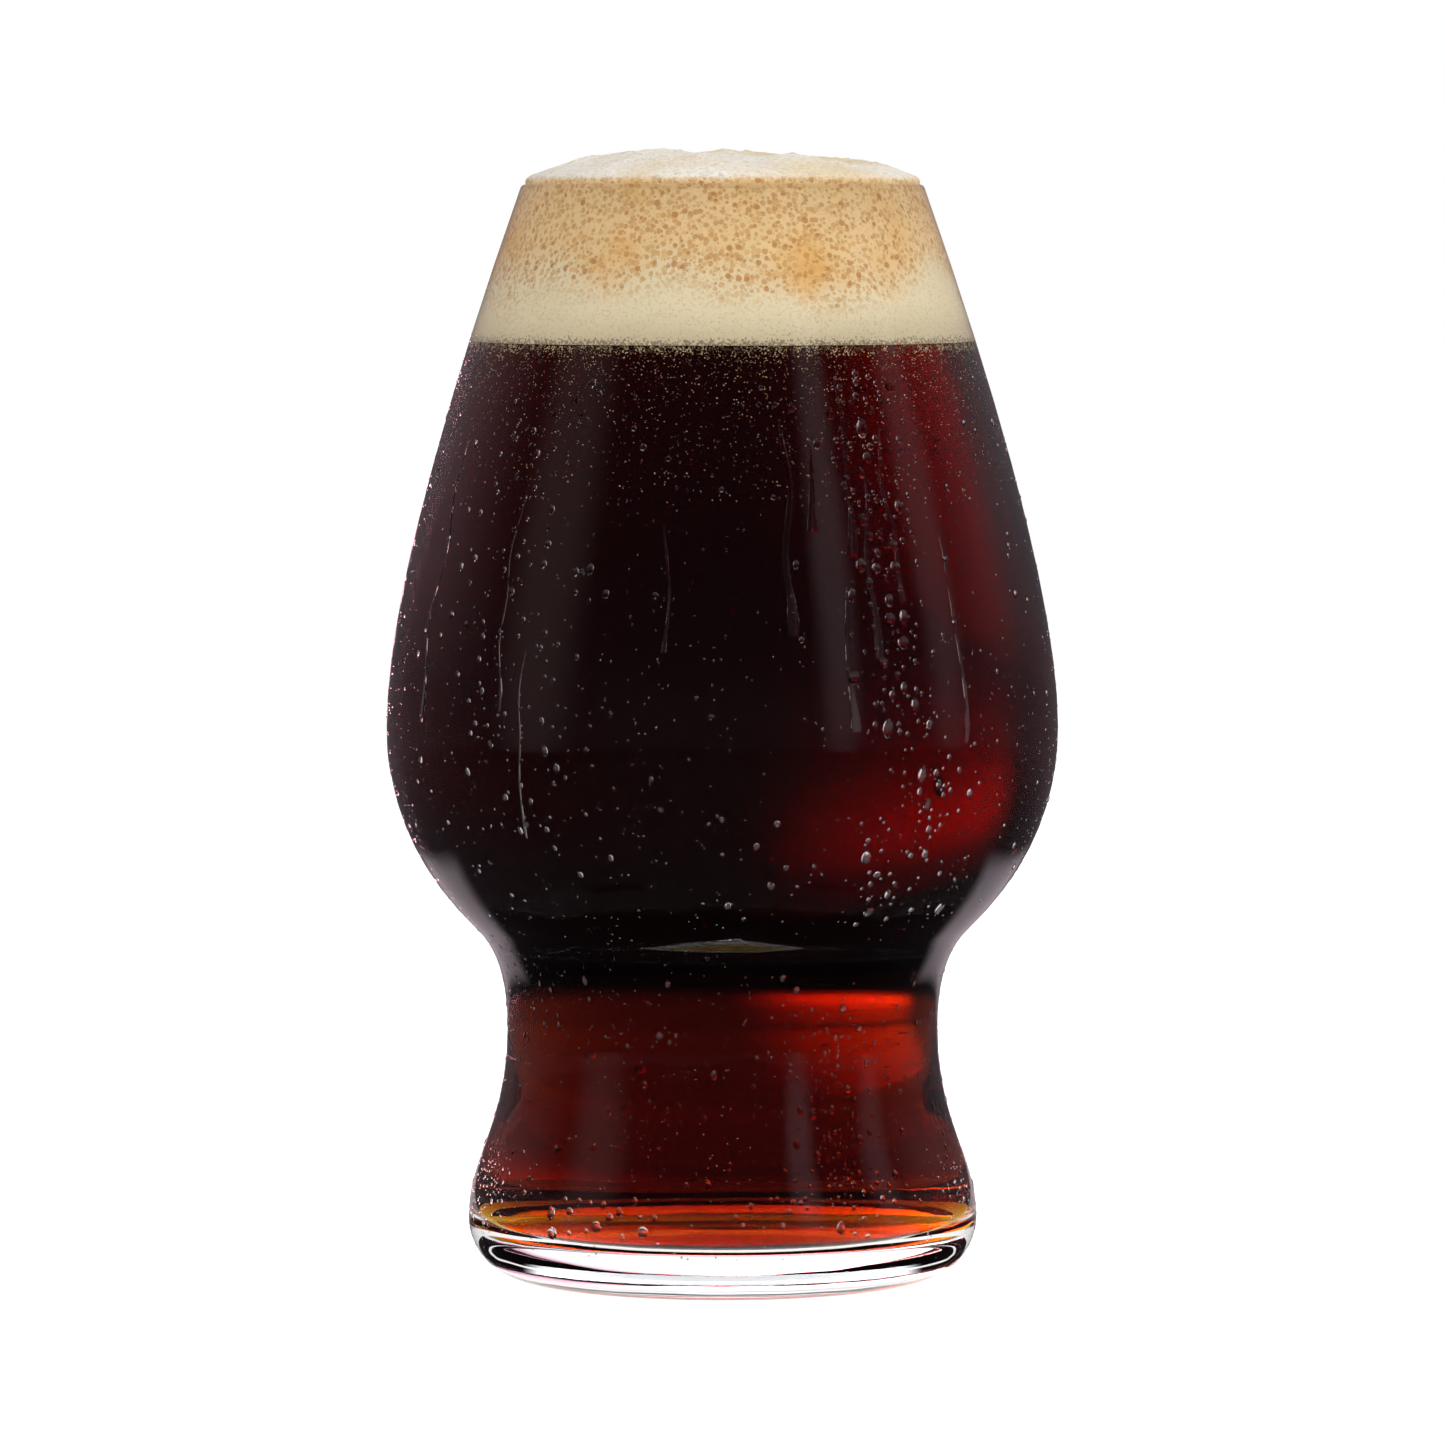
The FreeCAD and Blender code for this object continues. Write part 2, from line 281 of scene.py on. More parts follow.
# %% [markdown]
# The glass is one turned piece, thick at its base and thin at its rim. Light that leaves
# the glass into beer bends much less than light that leaves it into air. So the inside
# below the beer gets a finish of its own, and the mesh is cut at that level to give the
# two finishes a clean edge.

# %% Glass
glass = turn("glass_body", glass_outline)
cut_level(glass, BEER_LEVEL)
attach(glass, "root")
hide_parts("tumbler")

# %% [markdown]
# The beer fills the inside and lies against the glass with the same thin gap as in the
# CAD model. Its outline is the inside of the glass, closed over the axis and cut level.

# %% Beer
beer_outline = Outline((0.0, BASE_THICKNESS + LIQUID_GAP))
draw_inside(beer_outline, LIQUID_GAP)
beer_outline.line((0.0, GLASS_HEIGHT - 1.0))
beer = turn("beer_fill", beer_outline, fineness=8)
cut_level(beer, BEER_LEVEL, outer=True)
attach(beer, "root")
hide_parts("beer")


# %% [markdown]
# Points on the walls are needed again and again: for the froth, for the bubbles inside
# and for the drops outside. A wall is looked up by its height, and a place on it is named
# by its height and by its angle from the front, which is the side of -Y.

# %% Looking up the walls
def wall_table(points):
    """Radius and lean of a wall at each tenth of a millimetre of height."""
    table = {}
    for low, high in zip(points, points[1:]):
        bottom, top = sorted((low[1], high[1]))
        if top - bottom < 1e-6:
            continue
        for tenth in range(math.ceil(bottom * 10), math.floor(top * 10) + 1):
            share = (tenth / 10 - low[1]) / (high[1] - low[1])
            run = (high[0] - low[0]) / (high[1] - low[1])
            table[tenth] = (low[0] + (high[0] - low[0]) * share, run)
    return table


OUTER_WALL = wall_table(outside_points[2 * STEPS :])
INNER_WALL = wall_table(inside_points[STEPS:])


def wall_at(table, height):
    """Radius at a height, and the change of radius per millimetre of height."""
    tenth = max(min(math.floor(height * 10), max(table) - 1), min(table))
    share = min(max(height * 10 - tenth, 0.0), 1.0)
    low = table[tenth]
    high = table.get(tenth + 1, low)
    return (low[0] + (high[0] - low[0]) * share, low[1] + (high[1] - low[1]) * share)


def wall_frame(table, angle, height, side=1):
    """A place on a wall in metres, and the directions across, up and out from it."""
    radius, run = wall_at(table, height)
    turn_by = math.radians(angle)
    outward = Vector((math.sin(turn_by), -math.cos(turn_by), 0))
    across = Vector((math.cos(turn_by), math.sin(turn_by), 0))
    up = (outward * run + Vector((0, 0, 1))).normalized()
    out = (outward - Vector((0, 0, run))).normalized() * side
    place = outward * radius * MM + Vector((0, 0, height * MM))
    return place, across, up, out


for name, table in (("outside", OUTER_WALL), ("inside", INNER_WALL)):
    print("belly radius", name, round(wall_at(table, BELLY[1])[0], 2))

# %% [markdown]
# The head of froth is wet and clings to the glass, so its side is drawn a hair inside the
# wall and shows right out to the edge of the glass. Over the rim it bulges a little and
# domes up. It was poured, so its top is not a turned shape: it is pushed up and down in
# slow swells, with one low fold near the middle.

# %% Froth
FROTH_CLING = -0.03
FROTH_BITE = 0.05
BULGE = ((26.1, 143.2), (25.9, 143.9), (24.6, 144.35))
DOME = ((20.4, 145.8), (13.0, HEAD_TOP - 0.75), (0.0, HEAD_TOP - 0.75))
SWELL_FROM = 143.3
SWELL_RADIUS = 25.0


def draw_froth():
    outline = Outline((0.0, BASE_THICKNESS))
    draw_inside(outline, FROTH_CLING)
    outline.curve(*BULGE)
    outline.curve(*DOME)
    return outline


def swell_froth(piece):
    """Push the top of the froth up and down, and more so away from the rim."""
    for vertex in piece.data.vertices:
        place = vertex.co / MM
        if place.z < SWELL_FROM:
            continue
        reach = math.hypot(place.x, place.y)
        free = min(max((SWELL_RADIUS - reach) / 6.0, 0.0), 1.0)
        slow = noise.noise(Vector((place.x, place.y, 3.0)) * 0.11)
        ridge = 1.0 - abs(noise.noise(Vector((place.x * 0.09, place.y * 0.16, 9.0))) * 2.2)
        fine = noise.noise(Vector((place.x, place.y, 5.0)) * 0.9)
        lift = 0.75 * slow * free + 0.45 * max(ridge, 0.0) ** 3 * free + 0.07 * fine
        vertex.co.z = min(vertex.co.z + lift * MM, (HEAD_TOP + 0.3) * MM)


froth = turn("froth_head", draw_froth(), fineness=14, steps=240)
cut_level(froth, BEER_LEVEL - FROTH_BITE, inner=True)
swell_froth(froth)
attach(froth, "root")
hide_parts("foam_head")


# %% [markdown]
# Bubbles and drops are too many to place by hand. One is shaped, and then it is copied
# into one mesh at every place in a list, each copy with its own width, height and depth.
# The random numbers are seeded, so every run gives the same glass.

# %% Copying one shape to many places
def shape_bubble(name, fineness, floor=None):
    """A small ball, and if a floor is given, the part of it above that floor."""
    bpy.ops.object.select_all(action="DESELECT")
    bpy.ops.mesh.primitive_ico_sphere_add(subdivisions=fineness, radius=1.0)
    ball = bpy.context.object
    ball.name = name
    if floor is not None:
        bpy.ops.object.mode_set(mode="EDIT")
        bpy.ops.mesh.select_all(action="SELECT")
        bpy.ops.mesh.bisect(
            plane_co=(0, 0, floor), plane_no=(0, 0, 1), use_fill=True, clear_inner=True
        )
        bpy.ops.object.mode_set(mode="OBJECT")
    points = [vertex.co.copy() for vertex in ball.data.vertices]
    faces = [tuple(face.vertices) for face in ball.data.polygons]
    bpy.data.objects.remove(ball, do_unlink=True)
    return points, faces


def scatter(name, shape, places):
    """Copy a shape to many places: (place, across, up, out, width, height, depth) in mm."""
    points, faces = shape
    vertices = []
    polygons = []
    for place, across, up, out, width, height, depth in places:
        first = len(vertices)
        for point in points:
            offset = across * point.x * width + up * point.y * height + out * point.z * depth
            vertices.append(place + offset * MM)
        polygons.extend(tuple(first + corner for corner in face) for face in faces)
    mesh = bpy.data.meshes.new(name)
    mesh.from_pydata(vertices, [], polygons)
    mesh.update()
    piece = bpy.data.objects.new(name, mesh)
    scene.collection.objects.link(piece)
    select_only(piece)
    bpy.ops.object.shade_smooth()
    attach(piece, "root")
    print(name, len(places), "copies,", len(polygons), "faces")
    return piece


# %% [markdown]
# Right under the froth the beer is full of fine bubbles that cling to the glass. They are
# thick at the line and thin out downwards over about 15 mm.

# %% Bubbles in the beer
BUBBLE_COUNT = 9000
chance = random.Random(11)


def bubble_places():
    places = []
    for _ in range(BUBBLE_COUNT):
        near = chance.random()
        if near < 0.36:
            depth = abs(chance.gauss(0, 0.55))
        elif near < 0.85:
            depth = min(chance.expovariate(1 / 3.4), 17.0)
        else:
            depth = chance.uniform(0, 20)
        height = BEER_LEVEL - 0.1 - depth
        angle = chance.uniform(-180, 180)
        size = chance.uniform(0.05, 0.115) * (1.0 if depth < 1.5 else 0.8)
        place, across, up, out = wall_frame(INNER_WALL, angle, height, side=-1)
        place = place + out * (size + LIQUID_GAP + 0.02 + chance.uniform(0, 0.25)) * MM
        places.append((place, across, up, out, size, size, size))
    return places


grain = shape_bubble("grain", 1)
bubbles = scatter("beer_bubbles", grain, bubble_places())

# %% [markdown]
# The glass is cold, so water from the air settles on it. The mist of tiny drops covers the
# whole outside. Larger drops gather in fields, mostly right of the front, low on the
# neck and round the foot. Each drop is a flattened cap, sunk a little into the wall so that
# light passes from water to glass with no air between.

# %% Mist and drops
MIST_TRIES = 7600
ALL_ROUND = 180.0
FIELDS = [
    # angle from the front, spread of angle, low, high, number, smallest, largest
    (30.0, 6.5, 74.0, 119.0, 210, 0.25, 0.85),
    (36.0, 9.0, 50.0, 76.0, 90, 0.2, 0.7),
    (-38.0, 15.0, 60.0, 118.0, 190, 0.15, 0.5),
    (0.0, ALL_ROUND, 48.0, 119.0, 700, 0.12, 0.45),
    (30.0, 13.0, 12.0, 39.0, 170, 0.15, 0.5),
    (-70.0, 9.0, 9.0, 36.0, 230, 0.15, 0.42),
    (72.0, 8.0, 9.0, 36.0, 150, 0.15, 0.42),
    (-64.0, 12.0, 12.0, 46.0, 260, 0.1, 0.28),
    (-27.0, 16.0, 8.5, 13.5, 30, 0.3, 0.9),
    (25.0, 17.0, 8.5, 15.5, 44, 0.25, 0.8),
    (0.0, ALL_ROUND, 7.0, 42.0, 420, 0.12, 0.5),
]


def mist_places():
    """Tiny drops all over, thinner and thicker in slow patches."""
    places = []
    for _ in range(MIST_TRIES):
        height = chance.uniform(6.0, 124.0)
        angle = chance.uniform(-180, 180)
        patch = noise.noise(Vector((angle * 0.05, height * 0.06, 1.0)))
        if chance.random() > 0.55 + patch:
            continue
        size = chance.uniform(0.07, 0.17)
        place, across, up, out = wall_frame(OUTER_WALL, angle, height)
        tall = size * chance.uniform(0.9, 1.4)
        places.append((place, across, up, out, size, tall, size * 0.4))
    return places


def drop_places():
    """Drops in fields, each clear of the others, because drops that touch run together."""
    places = []
    for angle, spread, low, high, number, smallest, largest in FIELDS:
        for _ in range(number):
            if spread == ALL_ROUND:
                here = angle + chance.uniform(-spread, spread)
            else:
                here = angle + chance.gauss(0, spread * 0.6)
            height = chance.uniform(low, high)
            size = smallest + (largest - smallest) * chance.random() ** 2.5
            place, across, up, out = wall_frame(OUTER_WALL, here, height)
            tall = size * chance.uniform(0.95, 1.7)
            if any((place - other[0]).length < (tall + other[5]) * MM for other in places):
                continue
            tilt = chance.uniform(-0.25, 0.25)
            turned = across * math.cos(tilt) + up * math.sin(tilt)
            raised = up * math.cos(tilt) - across * math.sin(tilt)
            depth = size * chance.uniform(0.22, 0.38)
            places.append((place, turned, raised, out, size, tall, depth))
    return places


speck = shape_bubble("speck", 1)
drop = shape_bubble("drop", 2, floor=-0.12)
mist = scatter("cold_mist", speck, mist_places())
drops = scatter("cold_drops", drop, drop_places())

# %% [markdown]
# Some drops have run down and left a track: a thin raised band of water with a bead at its
# lower end. A track is a round curve laid on the wall that wanders as it falls. It is made
# a mesh and then flattened against the glass, each point by its own distance from the wall.

# %% Runs of water
RUNS = [
    # angle from the front, top, bottom, half width in mm
    (12.0, 113.0, 86.0, 0.75),
    (16.5, 110.0, 99.0, 0.55),
    (24.0, 118.0, 96.0, 0.7),
    (27.5, 106.0, 83.0, 0.6),
    (33.0, 112.0, 90.0, 0.5),
    (21.0, 92.0, 74.0, 0.6),
    (-36.0, 84.0, 60.0, 0.18),
    (-41.0, 104.0, 76.0, 0.22),
    (-10.0, 100.0, 84.0, 0.25),
    (44.0, 100.0, 72.0, 0.5),
    (95.0, 112.0, 80.0, 0.6),
    (-128.0, 104.0, 62.0, 0.5),
    (-155.0, 116.0, 88.0, 0.6),
    (-62.0, 110.0, 74.0, 0.5),
    (-88.0, 102.0, 66.0, 0.45),
]
RUN_FLATNESS = 0.2
SUNK_FLATNESS = 0.12


def lay_run(angle, top, bottom, half_width, number):
    """One track as a round curve on the wall, with a bead at its lower end."""
    bpy.ops.object.select_all(action="DESELECT")
    bpy.ops.curve.primitive_nurbs_path_add(location=(0, 0, 0))
    track = bpy.context.object
    spline = track.data.splines[0]
    count = max(int((top - bottom) / 2.0), 5)
    spline.points.add(max(count - len(spline.points), 0))
    count = len(spline.points)
    for index, point in enumerate(spline.points):
        share = index / (count - 1)
        height = top + (bottom - top) * share
        sway = noise.noise(Vector((height * 0.11, number * 7.3, 0.0))) * 2.4
        place = wall_frame(OUTER_WALL, angle + sway, height)[0]
        point.co = (*place, 1.0)
        body = 0.55 + 0.35 * noise.noise(Vector((height * 0.35, number * 3.1, 4.0)))
        bead = 1.15 * math.exp(-(((share - 0.95) * (top - bottom) / 1.3) ** 2))
        point.radius = max(body * min(share * 5 + 0.15, 1.0), 0.12) + bead
    track.data.bevel_depth = half_width * MM
    track.data.bevel_resolution = 3
    track.data.use_fill_caps = True
    track.data.resolution_u = 4
    bpy.ops.object.convert(target="MESH")
    return bpy.context.object


def flatten_on_wall(piece):
    """Press a piece against the outside of the glass."""
    for vertex in piece.data.vertices:
        place = vertex.co / MM
        reach = math.hypot(place.x, place.y)
        radius = wall_at(OUTER_WALL, place.z)[0]
        off = (reach - radius) * (RUN_FLATNESS if reach > radius else SUNK_FLATNESS)
        vertex.co.x *= (radius + off) / reach
        vertex.co.y *= (radius + off) / reach


def join(name, parts):
    bpy.ops.object.select_all(action="DESELECT")
    for part in parts:
        part.select_set(True)
    bpy.context.view_layer.objects.active = parts[0]
    bpy.ops.object.join()
    whole = bpy.context.object
    whole.name = name
    whole.data.name = name
    return whole


tracks = [lay_run(*run, number) for number, run in enumerate(RUNS)]
runs = join("water_runs", tracks)
flatten_on_wall(runs)
bpy.ops.object.shade_smooth()
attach(runs, "root")
print("water_runs", len(runs.data.polygons), "faces")


# %% [markdown]
# Materials. Each one is a small tree of nodes. One helper adds a node and fills in its
# inputs, and the others each make one step that several materials need: a sum, a soft step
# from one range to another, a mix of two colours, noise, a coordinate.

# %% Helpers for materials
def add(tree, kind, inputs=None, **settings):
    """Add a node, with its settings by name and its inputs as links or plain values."""
    node = tree.nodes.new("ShaderNode" + kind)
    for name, value in settings.items():
        setattr(node, name, value)
    for name, value in (inputs or {}).items():
        socket = node.inputs[name]
        if isinstance(value, bpy.types.NodeSocket):
            tree.links.new(value, socket)
        else:
            socket.default_value = (*value, 1) if socket.type == "RGBA" else value
    return node


def maths(tree, operation, *values):
    return add(tree, "Math", dict(enumerate(values)), operation=operation).outputs[0]


def multiply(tree, first, second):
    return maths(tree, "MULTIPLY", first, second)


def shifted(tree, value, by, amount):
    """A value pushed up and down by another one."""
    return maths(tree, "MULTIPLY_ADD", by, amount, value)


def stretch(tree, value, low, high, to_low=0.0, to_high=1.0, ease="SMOOTHSTEP"):
    """Carry what lies between low and high over to another range."""
    inputs = {"Value": value, "From Min": low, "From Max": high, "To Min": to_low, "To Max": to_high}
    return add(tree, "MapRange", inputs, interpolation_type=ease).outputs["Result"]


def colour_mix(tree, share, first, second):
    return add(tree, "Mix", {0: share, 6: first, 7: second}, data_type="RGBA").outputs[2]


def surface_place(tree):
    """The place on a piece's own surface, in metres."""
    return add(tree, "TexCoord").outputs["Object"]


def coordinate(tree, axis):
    return add(tree, "SeparateXYZ", {0: surface_place(tree)}).outputs[axis]


def noise_at(tree, where, scale, detail=2.0):
    inputs = {"Vector": where, "Scale": scale, "Detail": detail}
    return add(tree, "TexNoise", inputs).outputs["Fac"]


def new_material(name):
    material = bpy.data.materials.new(name)
    material.use_nodes = True
    material.node_tree.nodes.clear()
    return material, material.node_tree


def end_with(tree, shader):
    return add(tree, "OutputMaterial", {"Surface": shader.outputs[0]})


def open_for_light(tree, shader):
    """Let shadow rays and rays from matt surfaces straight through, and end the material."""
    path = add(tree, "LightPath").outputs
    either = maths(tree, "MAXIMUM", path["Is Shadow Ray"], path["Is Diffuse Ray"])
    through = add(tree, "BsdfTransparent")
    mix = add(tree, "MixShader", {0: either, 1: shader.outputs[0], 2: through.outputs[0]})
    return end_with(tree, mix)


def wear(piece, *materials):
    piece.data.materials.clear()
    for material in materials:
        piece.data.materials.append(material)


# %% [markdown]
# The glass and the water are clear, and light from a lamp would only reach the froth
# through them by luck. So for shadow rays and for rays that left a matt surface they are
# simply open, which is what thin clear glass nearly does, and for every other ray they bend
# and mirror light as real glass does. None of them is perfectly even, so they share one
# group: slow waves that make reflections waver, and faint smudges that soften them.

# %% Finish of the glass and the water
GLASS_IOR = 1.5
BEER_IOR = 1.34
WATER_IOR = 1.33
GLASS_TINT = (0.985, 0.99, 0.99)
WATER_TINT = (0.99, 0.99, 1.0)


def uneven_surface():
    """The shared group: a height for the waves and a roughness for the smudges."""
    tree = bpy.data.node_groups.new("uneven_surface", "ShaderNodeTree")
    tree.interface.new_socket("Place", in_out="INPUT", socket_type="NodeSocketVector")
    tree.interface.new_socket("Height", in_out="OUTPUT", socket_type="NodeSocketFloat")
    tree.interface.new_socket("Roughness", in_out="OUTPUT", socket_type="NodeSocketFloat")
    place = tree.nodes.new("NodeGroupInput").outputs["Place"]
    waves = noise_at(tree, place, 55.0)
    smudges = stretch(tree, noise_at(tree, place, 240.0), 0.35, 0.75, 0.0, 0.035, ease="LINEAR")
    result = tree.nodes.new("NodeGroupOutput")
    tree.links.new(waves, result.inputs["Height"])
    tree.links.new(smudges, result.inputs["Roughness"])
    return tree


UNEVEN = uneven_surface()


def clear_material(name, ior, wave_height, tint):
    """Glass or water, with waves up to a height in millimetres."""
    material, tree = new_material(name)
    uneven = add(tree, "Group", {"Place": surface_place(tree)}, node_tree=UNEVEN)
    waves = {"Strength": 1.0, "Distance": wave_height * MM, "Height": uneven.outputs["Height"]}
    inputs = {
        "Base Color": tint,
        "Metallic": 0.0,
        "Roughness": uneven.outputs["Roughness"],
        "IOR": ior,
        "Transmission Weight": 1.0,
        "Normal": add(tree, "Bump", waves).outputs["Normal"],
    }
    open_for_light(tree, add(tree, "BsdfPrincipled", inputs))
    return material


def faces_against_beer(piece):
    """Give the inside below the beer's level the second finish."""
    count = 0
    for face in piece.data.polygons:
        reach = math.hypot(face.center.x, face.center.y) / MM
        height = face.center.z / MM
        inside = height > BASE_THICKNESS - 0.1 and reach < wall_at(INNER_WALL, height)[0] + 0.3
        if inside and height < BEER_LEVEL:
            face.material_index = 1
            count += 1
    print("faces against the beer", count)


clear_glass = clear_material("clear_glass", GLASS_IOR, 0.16, GLASS_TINT)
wet_glass = clear_material("glass_against_beer", GLASS_IOR / BEER_IOR, 0.1, GLASS_TINT)
cold_water = clear_material("cold_water", WATER_IOR, 0.02, WATER_TINT)
wear(glass, clear_glass, wet_glass)
faces_against_beer(glass)
for piece in (mist, drops, runs):
    wear(piece, cold_water)

# %% [markdown]
# The beer is clear, but it swallows light on the way: blue at once, green over a few
# millimetres and red only over several centimetres. That one fact gives all its colours,
# amber at the bottom, red in the neck and black in the bowl. The bending of light is
# already in the glass that touches it, so the beer itself doesn't bend it again.

# %% Finish of the beer
BEER_DENSITY = 400.0
BEER_PASSES = (0.835, 0.65, 0.02)


def beer_material():
    material, tree = new_material("dark_beer")
    inputs = {"Base Color": (1, 1, 1), "Roughness": 0.0, "IOR": 1.0, "Transmission Weight": 1.0}
    end = open_for_light(tree, add(tree, "BsdfPrincipled", inputs))
    depth = add(tree, "VolumeAbsorption", {"Color": BEER_PASSES, "Density": BEER_DENSITY})
    tree.links.new(depth.outputs[0], end.inputs["Volume"])
    return material


wear(beer, beer_material())


# %% [markdown]
# Froth is a pack of bubbles. Three layers of round cells are laid over each other: large
# ones here and there and a close pack of small ones near the rim, where the head has dried
# and turned amber, and very fine ones all over. Each cell has its own size and its own
# shade. One bubble near the rim has burst open. Just above the beer the froth is wet, so
# dark specks crowd together there.

# %% Finish of the froth
CREAM = (0.78, 0.66, 0.43)
AMBER = (0.79, 0.55, 0.27)
BURNT_AMBER = (0.76, 0.43, 0.13)
CROWN = (0.85, 0.82, 0.74)
# Tan of the crown's patches: partly the froth's own tan, partly painted shade for the folds of the
# dome.
CROWN_TAN_AND_SHADE = (0.79, 0.67, 0.46)
FINE_CELL = (0.56, 0.40, 0.20)
SMALL_CELL = (0.70, 0.41, 0.14)
DARK_CELL = (0.50, 0.22, 0.05)
LARGE_CELL = (0.50, 0.22, 0.06)
BURST_CELL = (0.42, 0.14, 0.03)
BURST_PLACE = (-0.0025, -0.0256, 0.1375)
WET_SPECK = (0.17, 0.11, 0.06)


def cell_layer(tree, where, cell_mm, size):
    """A mask of round cells, each with its own size, and a number of its own for its shade."""
    cells = add(tree, "TexVoronoi", {"Vector": where, "Scale": 1.0 / (cell_mm * MM)})
    own = add(tree, "SeparateColor", {0: cells.outputs["Color"]})
    reach = stretch(tree, own.outputs[0], 0.0, 1.0, size * 0.5, size)
    ratio = maths(tree, "DIVIDE", cells.outputs["Distance"], reach)
    return stretch(tree, ratio, 0.75, 1.1, 1.0, 0.0), own.outputs[1]


def froth_ground(tree, dry, crown, patch):
    """Cream low on the side, amber where it is dry, and nearly white on the crown, with tan patches
    there that are partly painted shade.
    """
    burnt = stretch(tree, patch, 0.46, 0.66)
    side = colour_mix(tree, dry, CREAM, colour_mix(tree, burnt, AMBER, BURNT_AMBER))
    # Tan patches on the crown, heavier on the right (+X): partly the froth's own tan, partly painted
    # shade for its folds.
    right = stretch(tree, coordinate(tree, "X"), 0.002, 0.014)
    crown_tan_and_shade = stretch(tree, shifted(tree, patch, right, 0.10), 0.44, 0.66)
    return colour_mix(tree, crown, side, colour_mix(tree, crown_tan_and_shade, CROWN, CROWN_TAN_AND_SHADE))


def froth_material():
    """The ground of the froth, and laid over it the cells, the burst bubble and the specks."""
    material, tree = new_material("beer_froth")
    where = surface_place(tree)
    height = coordinate(tree, "Z")
    patch = noise_at(tree, where, 60.0, 3.0)
    dry = stretch(tree, shifted(tree, height, patch, 0.016), 0.1365, 0.1425)
    drift = noise_at(tree, where, 26.0)
    packed = stretch(tree, shifted(tree, height, drift, 0.030), 0.1425, 0.1475)
    crown = stretch(tree, height, 0.1430, 0.1442)
    ground = froth_ground(tree, dry, crown, patch)

    large, large_shade = cell_layer(tree, where, 1.15, 0.42)
    small, small_shade = cell_layer(tree, where, 0.66, 0.65)
    fine, fine_shade = cell_layer(tree, where, 0.34, 0.50)
    open_here = multiply(tree, packed, stretch(tree, crown, 0.0, 1.0, 1.0, 0.3))
    fine_here = multiply(tree, fine, stretch(tree, fine_shade, 0.2, 0.9, 0.05, 0.45))
    small_here = multiply(tree, small, open_here)
    some = multiply(tree, stretch(tree, large_shade, 0.62, 0.70), open_here)
    large_here = multiply(tree, large, some)
    gap = add(tree, "VectorMath", {0: where, 1: BURST_PLACE}, operation="DISTANCE")
    burst = stretch(tree, gap.outputs["Value"], 0.00095, 0.00075)
    wet = stretch(tree, height, BEER_LEVEL * MM, (BEER_LEVEL + 1.7) * MM, 0.57, 0.27)
    dark = maths(tree, "SUBTRACT", wet, noise_at(tree, where, 3200.0))
    specks = stretch(tree, dark, 0.0, 0.07)
    layers = [
        (fine_here, FINE_CELL),
        (multiply(tree, small_here, 0.68), colour_mix(tree, small_shade, SMALL_CELL, DARK_CELL)),
        (multiply(tree, large_here, 0.8), LARGE_CELL),
        (multiply(tree, burst, 0.85), BURST_CELL),
        (multiply(tree, specks, 0.7), WET_SPECK),
    ]
    for mask, colour in layers:
        ground = colour_mix(tree, mask, ground, colour)

    pits = maths(tree, "ADD", small_here, fine)
    dents = {"Strength": 0.6, "Distance": 0.14 * MM, "Height": pits}
    inputs = {
        "Base Color": ground,
        "Roughness": 0.6,
        "Subsurface Weight": 0.25,
        "Subsurface Radius": (1.0, 0.7, 0.4),
        "Subsurface Scale": 0.6 * MM,
        "Normal": add(tree, "Bump", dents, invert=True).outputs["Normal"],
    }
    end_with(tree, add(tree, "BsdfPrincipled", inputs))
    return material


def bubble_glint_material():
    """Fine bubbles: pale grains, some brighter and some darker, a painted glint for light caught in
    clear air.
    """
    material, tree = new_material("fine_bubbles_painted_glint")
    shade = stretch(tree, noise_at(tree, surface_place(tree), 900.0), 0.38, 0.62)
    # The pale colour is painted glint: the bubbles are clear air, bright only by the light caught in
    # them.
    colour = colour_mix(tree, shade, (0.07, 0.045, 0.025), (0.60, 0.50, 0.31))
    end_with(tree, add(tree, "BsdfPrincipled", {"Base Color": colour, "Roughness": 0.35}))
    return material


wear(froth, froth_material())
wear(bubbles, bubble_glint_material())


# %% [markdown]
# The studio. The glass stands on a wide pale floor. The floor keeps the soft shadow of the
# glass, and a little light of its own lifts the rest of it to white.

# %% Floor
FLOOR_LIFT = 0.76


def seen_directly(tree):
    """1 for camera, mirrored and bent rays, and 0 for the rays that light things."""
    path = add(tree, "LightPath").outputs
    first = maths(tree, "MAXIMUM", path["Is Camera Ray"], path["Is Glossy Ray"])
    return maths(tree, "MAXIMUM", first, path["Is Transmission Ray"])


def floor_material():
    """A pale floor that keeps the shadow, lifted to white where no shadow falls."""
    material, tree = new_material("studio_floor")
    matt = add(tree, "BsdfDiffuse", {"Color": (0.8, 0.8, 0.8)})
    strength = multiply(tree, seen_directly(tree), FLOOR_LIFT)
    lift = add(tree, "Emission", {"Color": (1, 1, 1), "Strength": strength})
    end_with(tree, add(tree, "AddShader", {0: matt.outputs[0], 1: lift.outputs[0]}))
    return material


bpy.ops.object.select_all(action="DESELECT")
bpy.ops.mesh.primitive_plane_add(size=12.0, location=(0, 0, 0))
floor = bpy.context.object
floor.name = "studio_floor"
floor.data.materials.append(floor_material())

# %% [markdown]
# The world is white to the camera. As a light it is only about a third as strong, so the
# lamps decide where the froth is bright.

# %% World
WORLD_LIGHT = 0.35
world = bpy.data.worlds.new("studio")
scene.world = world
world.use_nodes = True
sky = world.node_tree.nodes["Background"]
sky.inputs["Color"].default_value = (1, 1, 1, 1)
white = seen_directly(world.node_tree)
level = stretch(world.node_tree, white, 0.0, 1.0, WORLD_LIGHT, 1.0)
world.node_tree.links.new(level, sky.inputs["Strength"])


# %% [markdown]
# Clear glass is seen by what it mirrors and by what it bends. So the table and the room get
# two sets of dressing that only such rays see, and that never stand in the way of a lamp.
# Each piece of dressing is a round wall or a flat ring that glows, and its colour depends
# on the height, the bearing and the distance from the glass.

